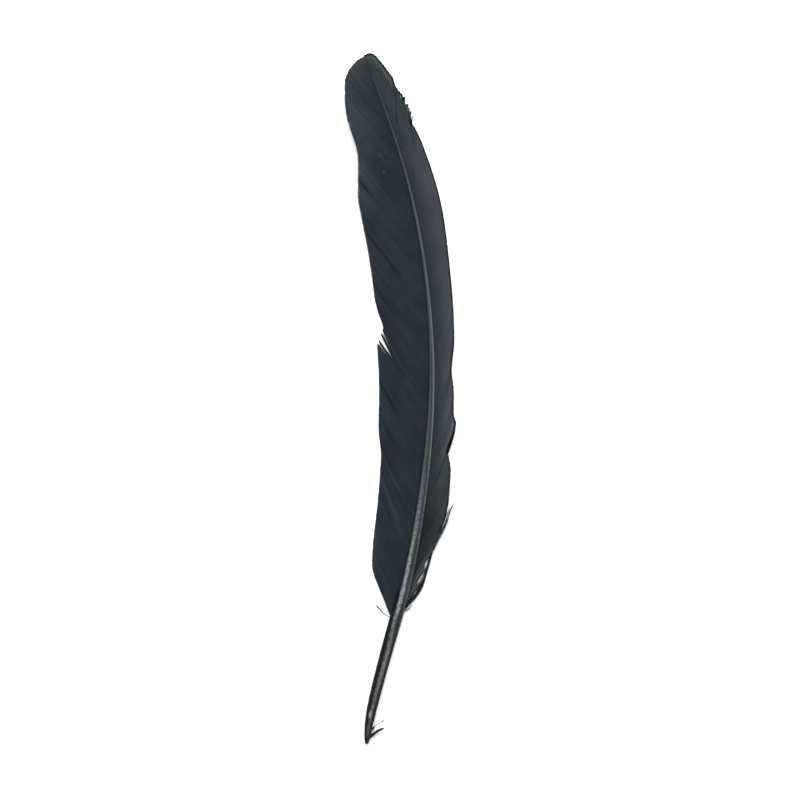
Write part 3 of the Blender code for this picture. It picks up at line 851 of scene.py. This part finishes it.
def webbed_barb_tree():
    """Sweeps the section along each guide line: a rib with a web on both sides, laid like tiles."""
    nodes, given, result = new_tree(
        "webbed barbs", section="Object", web_thickness="Float", flutter="Float", flutter_scale="Float",
        seed="Int", finish="Material",
    )
    lines = nodes.add("GeometryNodeMeshToCurve", given["Geometry"])

    # Each barb stands a little higher or lower than its neighbours, more so towards its tip.
    rough = nodes.add(
        "ShaderNodeTexNoise", nodes.add("GeometryNodeInputPosition"), noise_dimensions="4D",
        W=given["seed"], Scale=given["flutter_scale"], Detail=1.0,
    )
    own = nodes.math("SUBTRACT", nodes.held("barb"), 0.5)
    sway = nodes.weighted(own, OWN_FLUTTER, nodes.math("SUBTRACT", rough, 0.5))
    rise = nodes.times(nodes.times(sway, given["flutter"]), nodes.held("share"))
    lines = nodes.add("GeometryNodeSetPosition", lines, Offset=nodes.joined(0.0, 0.0, rise))
    lines, (spot, ahead) = capture(
        nodes, lines,
        spot=nodes.add("GeometryNodeInputPosition"), ahead=nodes.add("GeometryNodeInputTangent"),
    )
    outline = nodes.add("GeometryNodeObjectInfo", given["section"], out="Geometry")
    outline = nodes.add("GeometryNodeMeshToCurve", outline)
    outline, (corner,) = capture(nodes, outline, corner=nodes.add("GeometryNodeInputPosition"))
    swept = nodes.add("GeometryNodeCurveToMesh", lines, outline, Fill_Caps=True)

    parts = nodes.tree.nodes.new("ShaderNodeSeparateXYZ")
    nodes.feed(parts.inputs[0], corner)
    across, up_in_web, up_in_rib = parts.outputs
    sideways = nodes.sideways(ahead)
    beside = nodes.scaled(sideways, nodes.times(across, nodes.held("web")))
    above = nodes.weighted(up_in_rib, nodes.held("rib"), nodes.times(up_in_web, given["web_thickness"]))
    above = nodes.scaled(nodes.vector("CROSS_PRODUCT", sideways, ahead), above)
    spot = nodes.vector("ADD", spot, nodes.vector("ADD", beside, above))
    swept = nodes.add("GeometryNodeSetPosition", swept, Position=spot)
    swept = nodes.add("GeometryNodeStoreNamedAttribute", swept, Name="across", Value=across)
    swept = nodes.add("GeometryNodeSetShadeSmooth", swept)
    angle = nodes.add("GeometryNodeInputMeshEdgeAngle")
    sharp = nodes.add("FunctionNodeCompare", angle, SHARP_WEB, operation="GREATER_THAN")
    swept = nodes.add("GeometryNodeSetShadeSmooth", swept, sharp, False, domain="EDGE")
    return close_tree(nodes, swept, given["finish"], result)


def fringed_barb_tree():
    """A thin round stem along each guide line, with barbules set along both of its sides."""
    nodes, given, result = new_tree(
        "fringed barbs", barbule="Object", spacing="Float", angle="Float", unevenness="Float",
        thickness="Float", seed="Int", finish="Material",
    )
    lines = nodes.add("GeometryNodeMeshToCurve", given["Geometry"])
    ring = nodes.add("GeometryNodeCurvePrimitiveCircle", Resolution=STEM_SIDES, Radius=1.0)
    stems = nodes.add("GeometryNodeCurveToMesh", lines, ring, Scale=nodes.held("thick"), Fill_Caps=True)
    stems = nodes.add("GeometryNodeSetShadeSmooth", stems)
    along = nodes.tree.nodes.new("GeometryNodeCurveToPoints")
    along.mode = "LENGTH"
    nodes.feed(along.inputs["Curve"], lines)
    nodes.feed(along.inputs["Length"], given["spacing"])
    spots, ahead = along.outputs["Points"], along.outputs["Tangent"]
    barbule = nodes.add("GeometryNodeObjectInfo", given["barbule"], out="Geometry")
    sideways = nodes.sideways(ahead)
    parts = [stems]
    for side in (-1.0, 1.0):
        seed = nodes.math("ADD", given["seed"], SEED_STEP * side)
        off = nodes.times(nodes.chance(-1.0, 1.0, seed), given["unevenness"])
        angle = nodes.math("ADD", given["angle"], off)
        out = nodes.scaled(sideways, nodes.times(nodes.math("SINE", angle), side))
        lift = nodes.chance(-BARBULE_LIFT, BARBULE_LIFT, nodes.math("ADD", seed, 1.0))
        lift = nodes.times(lift, given["unevenness"])
        heading = nodes.vector("ADD", out, nodes.scaled(ahead, nodes.math("COSINE", angle)))
        heading = nodes.vector("ADD", heading, nodes.joined(0.0, 0.0, lift))
        turn = nodes.add("FunctionNodeAlignRotationToVector", axis="X", Vector=heading)
        reach = nodes.chance(*BARBULE_REACH, nodes.math("ADD", seed, 2.0))
        size = nodes.joined(nodes.times(nodes.held("fringe"), reach), given["thickness"], given["thickness"])
        parts.append(nodes.add(
            "GeometryNodeInstanceOnPoints", spots, Instance=barbule, Rotation=turn, Scale=size,
        ))
    joined = nodes.tree.nodes.new("GeometryNodeJoinGeometry")
    for part in parts:
        nodes.feed(joined.inputs[0], part)
    return close_tree(nodes, joined.outputs[0], given["finish"], result)


def grown(guide, tree, name, **values):
    """What the tree grows on the guide, as a plain mesh object. The guide is removed."""
    modifier = guide.modifiers.new(tree.name, "NODES")
    modifier.node_group = tree
    for item in tree.interface.items_tree:
        if item.in_out == "INPUT" and item.name in values:
            modifier[item.identifier] = values[item.name]
    bpy.context.view_layer.update()
    graph = bpy.context.evaluated_depsgraph_get()
    mesh = bpy.data.meshes.new_from_object(guide.evaluated_get(graph))
    mesh.name = name
    bpy.data.objects.remove(guide)
    return link_object(name, mesh)


def guide_lines(name, places, **values):
    """A mesh of one line of edges for each row of places, with values at its points."""
    grid = places.shape[:2]
    numbers = np.arange(grid[0] * grid[1]).reshape(grid)
    edges = np.stack((numbers[:, :-1], numbers[:, 1:]), axis=-1).reshape(-1, 2)
    mesh = new_mesh(name, places.reshape(-1, 3).tolist(), edges.tolist())
    for label, value in values.items():
        write_attribute(mesh, label, np.broadcast_to(value, grid))
    return link_object(name, mesh)


def barb_section():
    """The outline that is swept along every webbed barb, as a ring of edges."""
    count = len(SECTION)
    edges = [(i, (i + 1) % count) for i in range(count)]
    return link_object("barb_section", new_mesh("barb_section", SECTION, edges))


def single_barbule():
    """A slim closed spike, one unit long and one unit thick at its foot."""
    foot = [(0.0, np.cos(turn), np.sin(turn)) for turn in np.radians((90, 210, 330))]
    faces = [(2, 1, 0), (0, 1, 3), (1, 2, 3), (2, 0, 3)]
    return link_object("single_barbule", new_mesh("single_barbule", [*foot, (1.0, 0.0, 0.0)], faces=faces))


def run_along(places):
    """How far each point lies along its own line, in millimetres."""
    return np.linalg.norm(np.diff(places, axis=1, prepend=places[:, :1]), axis=2).cumsum(axis=1) / MM


# The vanes.

# How much higher a barb's rib is at its root than at its tip, how high it is there, and its taper.
RIB_RISE, RIB_TIP, RIB_TAPER = 0.15, 0.02, 0.6
# How high a loose barb's rib is, and how much lower it and how much slimmer its web are at the tip.
LOOSE_RIB, LOOSE_RIB_TAPER, LOOSE_WEB_TAPER = 0.1, 0.7, 0.6


def parted(side, roots, shares, rng):
    """What the vane's partings do to each barb: how far they push it along the shaft and lift it,
    and how much painted highlight or painted shadow they put on it."""
    push, lift, seam_light_and_shadow = (np.zeros((len(roots), len(shares))) for _ in range(3))
    strays = rng.normal(0, GAP_STRAY, len(roots))[:, None]
    for root, begins, gape, lower_lift, upper_lift, painted_light in PARTINGS[side]:
        away = (roots - root)[:, None]
        opened = risen(shares[None, :], begins, 1)
        push += np.sign(away) * gape / 2 * np.exp(-np.abs(away) / PARTING_REACH) * opened
        push += strays * max(gape, 0.0) * hump(away, GAP_REACH) * opened
        lift += np.where(away < 0, lower_lift, upper_lift) * np.exp(-np.abs(away) / LIFT_REACH) * opened
        # Painted highlight and shadow along the parting's line.
        seam_light_and_shadow += painted_light * hump(away, SEAM_WIDTH) * risen(shares[None, :], begins, begins + SEAM_BEGINS)
    return push, lift, seam_light_and_shadow


def worn_tips(side, roots, rng):
    """How much longer or shorter wear has made each barb, how far its tip leans along the shaft
    towards the middle of its lock, and how far out it flares, in millimetres."""
    count = len(roots)
    longer, lean, flare = rng.normal(0, UNEVEN_LENGTH, count), np.zeros(count), np.zeros(count)
    for first, last, size, lock, square in RAGGED[side]:
        bounds = first + np.cumsum(lock * rng.uniform(*LOCK_WIDTHS, int(2 * (last - first) / lock)))
        bounds = np.concatenate(([first], bounds[bounds < last], [last]))
        reach = rng.uniform(*LOCK_LENGTHS, len(bounds))
        i = np.clip(np.searchsorted(bounds, roots) - 1, 0, len(bounds) - 2)
        wide = bounds[i + 1] - bounds[i]
        offset = (roots - bounds[i]) / wide - 0.5
        here = (roots > first) & (roots < last)
        pointed = (1 - square) * here
        longer += size / 2 * (LOCK_POINT * (1 - 4 * np.abs(offset)) * pointed + reach[i] * here)
        longer -= here * square * offset * wide * SQUARE_SLANT
        lean -= offset * wide * LOCK_LEAN * min(size, 1.0) * pointed
        flare += size * LOCK_FLARE * (1 - 2 * np.abs(offset)) * (1 + reach[i]) * pointed
    return longer[:, None], lean[:, None], flare[:, None]


def vane_height(side, along, spread):
    """How high the vane lies above the shaft's underside, at a share of its width."""
    flat = 1 - (1 - TIP_FLATNESS) * risen(along, FLATTENS_FROM, LINE_LENGTH)
    heights = [ROOTED_AT * smooth(SHAFT_SIZES, along, 2)] + [height * flat for height in HEIGHTS[side]]
    knots = np.eye(len(HEIGHT_SHARES))
    return sum(np.interp(spread, HEIGHT_SHARES, knot) * height for knot, height in zip(knots, heights))


def barb_grid(side, roots, shares, rng):
    """Each barb at each share of its run: along, out, height, the painted highlight and shadow that its
    partings put on it, and along as it was before them."""
    half = smooth(SHAFT_SIZES, roots) / 2
    start = np.stack((roots, np.maximum(half - ROOT_DEPTH, DEEPEST_ROOT * half)), axis=-1)
    end = np.stack((roots + smooth(MARGINS[side], roots, 1), smooth(MARGINS[side], roots, 2)), axis=-1)
    run = end - start
    length = np.hypot(run[:, 0], run[:, 1])[:, None]
    steep = np.arctan2(run[:, 1], run[:, 0]) + np.radians(smooth(STEEPNESS[side], roots))
    bend = start + BEND_SHARE * length * np.stack((np.cos(steep), np.sin(steep)), axis=-1)
    longer, lean, flare = worn_tips(side, roots, rng)
    end = end + longer * run / length
    t = shares[None, :, None]
    path = start[:, None] * (1 - t) ** 2 + bend[:, None] * 2 * t * (1 - t) + end[:, None] * t ** 2
    push, lift, seam_light_and_shadow = parted(side, roots, shares, rng)
    gathered = risen(shares, GATHERED_FROM, 1)
    along, out = path[..., 0] + push + lean * gathered, path[..., 1] + flare * gathered
    if side == "outer":
        out = out + smooth(HOOKED_TIPS, roots)[:, None] * risen(shares, HOOKED_FROM, 1)
    meeting = risen(roots, *VANES_MEET)[:, None]
    wide = np.maximum(end[:, 1:] - start[:, 1:], NARROWEST_VANE)
    spread = np.clip((out - start[:, 1:]) / wide, 0, 1) * (1 - meeting) + shares * meeting

    ripple = sum(size * wander(roots, step, rng) for size, step in RIPPLES)[:, None]
    curl = MARGIN_CURL * risen(end[:, 1:] - out, CURLED_WIDTH, 0) if side == "outer" else 0.0
    height = vane_height(side, along, spread) * (1 - meeting) + MEETING_HEIGHT * meeting
    height = height + lift + ripple * risen(spread, 0, RIPPLES_WHOLE) * (1 - meeting) - curl
    height = np.maximum(height, LOWEST - underside(along))
    return along, out, height, seam_light_and_shadow, path[..., 0]


def from_margin(along, out, step=0.25):
    """How far each point lies from the line through all the barbs' ends, in millimetres."""
    count = len(along)
    ends = [np.interp(np.arange(0, count - 1, step), np.arange(count), at[:, -1]) for at in (along, out)]
    nearest = [
        np.hypot(a[:, None] - ends[0], b[:, None] - ends[1]).min(axis=1) for a, b in zip(along, out)
    ]
    return np.array(nearest)


def web_widths(side, places, roots, shares):
    """Half the width of each barb's web: half the distance to its neighbours, and a little over."""
    step = np.gradient(places, axis=0)
    ahead = np.gradient(places, axis=1)
    ahead /= np.linalg.norm(ahead, axis=2, keepdims=True)
    apart = np.linalg.norm(np.cross(step, ahead), axis=2)
    narrowest, widest = WEB_LIMITS
    web = np.clip(apart / 2 * WEB_OVERLAP, narrowest * MM, widest * MM)
    slimmer = SLIM_TIP * (1 - SPARED * risen(roots, *WIDE_ENDS[side]))
    at_root = SLIM_ROOT * (1 - risen(shares, 0, ROOT_SHARE))
    return web * (1 - at_root) * (1 - slimmer * risen(shares, TIP_SHARE, 1))


def outer_shades(roots, shares, along, inside):
    """How much paler the outer vane is in places, partly with painted sheen and highlight, how dark its
    edge is, with painted shade, and how faded it is.
    """
    middle, reach, wider = WIDER_EDGE
    # Painted shade along the edge where the margin curls down.
    width = SHADED_EDGE + wider * hump(along - middle, reach)
    edge = risen(inside, width, width - EDGE_SOFTNESS)
    middle, reach, most, first, last = BARE_TIPS
    bare = most * risen(shares, first, last) * hump(along - middle, reach)
    # The pale line: partly faded, partly a painted highlight along a fold.
    depth, width, first, last, paler, most = PALE_LINE
    line = hump(inside - depth, width) * risen(along, first, last)
    faded = np.maximum(bare, most * line)
    # Paler towards the margin, partly the vane's own colour and partly painted sheen.
    middle, reach, margin_paler = MARGIN_TONE_AND_SHEEN
    tone = paler * line + margin_paler * shares * hump(roots - middle, reach)
    return tone, edge * (1 - faded), faded


def inner_shades(roots, own, along, out, run, inside):
    """How much paler the inner vane is in places, how dark its edge is, and how faded it is."""
    width, softness, most = FAINT_EDGE
    spot_along, spot_out, reach_along, reach_out, differ, stroke, stroke_run = RUFFLED
    ruffled = ((along - spot_along) / reach_along) ** 2 + ((out - spot_out) / reach_out) ** 2
    strokes = np.sin(2 * np.pi * roots / stroke) * np.cos(2 * np.pi * run / stroke_run)
    tone = differ * (strokes + own - 0.5) * np.exp(-ruffled)
    return tone, most * risen(inside, width, width - softness), 0.0


def vane_guide(side):
    """A line for each of the vane's barbs, with the sizes and shades that its web takes."""
    rng = np.random.default_rng(VANE_SEEDS[side])
    roots = np.arange(*ROOTS[side], BARB_SPACING)
    roots = roots + rng.uniform(-ROOT_JITTER, ROOT_JITTER, len(roots))
    shares = np.linspace(0, 1, STATIONS[side]) ** STATION_CROWDING
    along, out, height, seam_light_and_shadow, unparted = barb_grid(side, roots, shares, rng)
    roots, own = roots[:, None], rng.random(len(roots))[:, None]
    inside = from_margin(along, out)
    sign = -1 if side == "inner" else 1
    places = place(along, out * sign, height)
    unraised = place(unparted, out * sign, height * 0)
    run = run_along(places)
    if side == "outer":
        tone, edge, faded = outer_shades(roots, shares, along, inside)
    else:
        tone, edge, faded = inner_shades(roots, own, along, out, run, inside)
    # Painted shade beside the shaft.
    reach, darker, fades, ends = SHAFT_SHADE
    beside = risen(out - smooth(SHAFT_SIZES, along) / 2, reach, 0) * risen(roots, ends, fades)
    # The tone carries the partings' painted highlight and shadow and the painted shade beside the shaft; on
    # the outer vane also painted sheen.
    return guide_lines(
        side + "_guide", places, web=web_widths(side, unraised, roots, shares),
        rib=RIB_RISE * MM * (1 - shares) ** RIB_TAPER + RIB_TIP * MM, share=shares, along=along,
        run=run, root=roots, edge=edge, faded=faded, barb=own,
        tone=seam_light_and_shadow + smooth(TONES[side], roots) + tone - darker * beside,
    )


def loose_guide():
    """A line for each of the loose barbs at the outer vane's foot."""
    share = np.linspace(0, 1, STRAND_STATIONS)
    curves = np.array([open_curve(points, STRAND_STATIONS) for *_, points in LOOSE_BARBS])
    width, dark, faded, tone = np.array([row[:4] for row in LOOSE_BARBS]).T[..., None]
    places = place(*np.moveaxis(curves, -1, 0))
    return guide_lines(
        "loose_guide", places, web=width / 2 * (1 - LOOSE_WEB_TAPER * share ** 3) * MM,
        rib=LOOSE_RIB * MM * (1 - LOOSE_RIB_TAPER * share), share=share, along=curves[..., 0],
        run=run_along(places), root=curves[:, :1, 0], edge=dark, faded=faded, tone=tone, barb=0.5,
    )


def make_vanes(finishes):
    tree, section = webbed_barb_tree(), barb_section()
    for name, guide, flutter, slot, node in (
        ("inner_barbs", vane_guide("inner"), FLUTTER, "inner_barbs", "inner_vane"),
        ("outer_barbs", vane_guide("outer"), FLUTTER, "outer_barbs", "outer_vane"),
        ("loose_base_barbs", loose_guide(), 0.0, "outer_barbs", "loose_barbs"),
    ):
        piece = grown(
            guide, tree, name, section=section, web_thickness=WEB_THICKNESS * MM, flutter=flutter * MM,
            flutter_scale=FLUTTER_SCALE, seed=SEED, finish=finishes[slot],
        )
        finish_piece(piece, slot, node)
    bpy.data.objects.remove(section)


# Loose barbs, strays and shreds.

# How their barbules stand, in radians, how unevenly, how thick they are, and how much thinner the
# stem and shorter the fringe are at the tip.
FRINGE_ANGLE, FRINGE_UNEVENNESS, FRINGE_THICKNESS = np.radians(38.0), 0.3, 0.03
STEM_TAPER, FRINGE_TAPER = 0.55, 0.5


def beside_quill_end(right, ahead, up):
    return np.stack((right + QUILL_END[0], ahead + QUILL_END[1], up), axis=-1) * MM


def make_strands(finishes):
    tree, barbule = fringed_barb_tree(), single_barbule()
    share = np.linspace(0, 1, STRAND_STATIONS)
    for name, strands, to_place, slot, finish, spacing, fringe in (
        ("frayed_base_barbs", FRAYED_BARBS, place, "outer_barbs", "strands", 0.05, 0.34),
        ("stray_edge_barbs", STRAY_BARBS, place, "outer_barbs", "strands", 0.08, 0.26),
        ("stray_hair", STRAY_HAIR, place, "inner_barbs", "strands", 0.4, 0.1),
        ("speck", SPECK, place, "inner_barbs", "speck", 0.2, 0.1),
        ("sheath_shreds", SHEATH_SHREDS, beside_quill_end, "horn", "shreds", 0.9, 0.2),
    ):
        thick = np.array([size for size, _ in strands])[:, None] / 2 * (1 - STEM_TAPER * share ** 2)
        curves = [open_curve(points, STRAND_STATIONS) for _, points in strands]
        guide = guide_lines(
            name + "_guide", np.array([to_place(*curve.T) for curve in curves]),
            thick=thick * MM, fringe=fringe * MM * (1 - FRINGE_TAPER * share),
        )
        piece = grown(
            guide, tree, name, barbule=barbule, spacing=spacing * MM, angle=FRINGE_ANGLE,
            unevenness=FRINGE_UNEVENNESS, thickness=FRINGE_THICKNESS * MM, seed=SEED,
            finish=finishes[finish],
        )
        finish_piece(piece, slot)
    bpy.data.objects.remove(barbule)


# The floor, the light and the camera.

# The camera's lens, and the share of the picture's height that the feather takes.
CAMERA_LENS, FILLED_SHARE = 70.0, 0.86
FLOOR_REACH, FLOOR_COLOUR = 20.0, (0.88, 0.88, 0.88, 1)
# The light's place and size, in metres, and its power in watts.
LIGHT_AT, LIGHT_SIZE, LIGHT_POWER = (0.0, 0.62, 0.75), 0.7, 18.0
SURROUND_COLOUR, SURROUND_STRENGTH = (0.95, 0.975, 1.0, 1), 0.75


def make_stage():
    corners = [(x * FLOOR_REACH, y * FLOOR_REACH, 0.0) for x, y in ((-1, -1), (1, -1), (1, 1), (-1, 1))]
    mesh = new_mesh("floor", corners, faces=[(0, 1, 2, 3)])
    made, _, sockets = new_material("pale_floor", roughness=0.8, specular=0.1)
    sockets["Base Color"].default_value = FLOOR_COLOUR
    mesh.materials.append(made)
    link_object("floor", mesh)


def make_lighting():
    """A soft light beyond the feather's tip, and a pale surround."""
    data = bpy.data.lights.new("soft_key", "AREA")
    data.size = LIGHT_SIZE
    data.energy = LIGHT_POWER
    made = link_object("soft_key", data)
    made.location = LIGHT_AT
    made.rotation_mode = "QUATERNION"
    made.rotation_quaternion = (-made.location).to_track_quat("-Z", "Y")
    world = bpy.data.worlds.new("pale_surround")
    world.use_nodes = True
    background = world.node_tree.nodes["Background"].inputs
    background["Color"].default_value = SURROUND_COLOUR
    background["Strength"].default_value = SURROUND_STRENGTH
    bpy.context.scene.world = world
    bpy.context.scene.view_settings.view_transform = "Standard"


def make_camera():
    """A camera that looks straight down on the feather, as in the photograph."""
    data = bpy.data.cameras.new("camera")
    data.lens = CAMERA_LENS
    made = link_object("camera", data)
    middle, size = (cad_low + cad_high) / 2, cad_high - cad_low
    half_view = data.sensor_width / 2 / data.lens
    made.location = (middle.x, middle.y, middle.z + size.y / FILLED_SHARE / 2 / half_view)
    bpy.context.scene.camera = made


make_camera()
make_stage()
make_lighting()
make_shaft(horn_finish())
make_vanes({
    "inner_barbs": barb_finish(
        "inner_vane_barbs", uneven=1.0, near_shaft=linear(34, 41, 48), near_margin=linear(33, 40, 47),
        tip=linear(46, 52, 58), edge=linear(24, 28, 33), bare=linear(70, 72, 70),
    ),
    "outer_barbs": barb_finish(
        # The colour near the margin is partly the vane's own and partly painted sheen.
        "outer_vane_barbs", uneven=0.5, near_shaft=linear(37, 42, 46), near_margin=linear(54, 57, 60),
        # The edge colour is painted shade on the outer margin, and the loose barbs' own black.
        tip=linear(45, 50, 53), edge=linear(6, 7, 8), bare=linear(84, 82, 78),
    ),
})
make_strands({
    "strands": fibre_finish("loose_barbs_and_barbules", linear(10, 12, 13), linear(48, 54, 54)),
    "speck": fibre_finish("dull_speck", linear(66, 64, 71), linear(88, 84, 91)),
    "shreds": fibre_finish("sheath_horn", linear(6, 7, 8), linear(48, 50, 50)),
})
